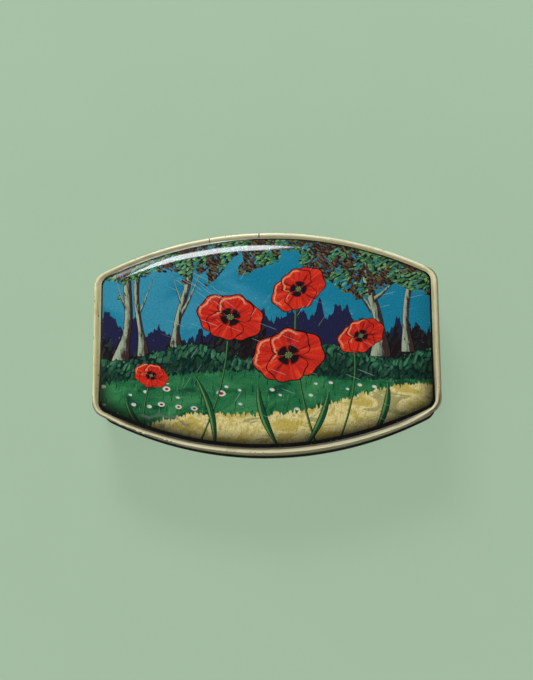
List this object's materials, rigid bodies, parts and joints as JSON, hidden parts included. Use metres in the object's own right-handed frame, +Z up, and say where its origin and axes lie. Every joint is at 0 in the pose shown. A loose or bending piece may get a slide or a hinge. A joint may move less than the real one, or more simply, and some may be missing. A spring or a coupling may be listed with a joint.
{
  "type": "candy tin",
  "caption": "Flat barrel-shaped tinplate candy tin: domed printed lid with a rolled rim, hinged on a wire pin at the back of a shallow body with a seamed base.",
  "frame": {"origin": "middle of the closed tin's plan, knuckles included, on the surface that the base stands on", "axes": "+X along the tin to the right seen from the front, +Y from the front to the hinged back, +Z up through the lid"},
  "size_m": [0.15, 0.0982, 0.0326],
  "materials": {
    "lid_enamel": "glossy cream enamel on the rim and skirt, lithographed picture under clear varnish on the dome",
    "body_enamel": "glossy cream enamel with a black band at the foot, plain tinplate inside",
    "base_enamel": "black japanned base, worn at its foot",
    "hinge_tinplate": "dulled tinplate",
    "steel_wire": "drawn steel wire"
  },
  "bodies": {
    "body": {"base_plate": "base_enamel", "body_wall": "body_enamel", "body_hinge_leaf": "hinge_tinplate", "hinge_pin": "steel_wire"},
    "lid": {"lid_shell": "lid_enamel", "lid_hinge_tab_left": "hinge_tinplate", "lid_hinge_tab_right": "hinge_tinplate"}
  },
  "joints": [
    {"name": "lid_hinge", "type": "hinge", "parent": "body", "child": "lid", "pos_m": [0, 0.04815, 0.0145], "axis": [-1, 0, 0], "range_deg": [0, 110]}
  ]
}
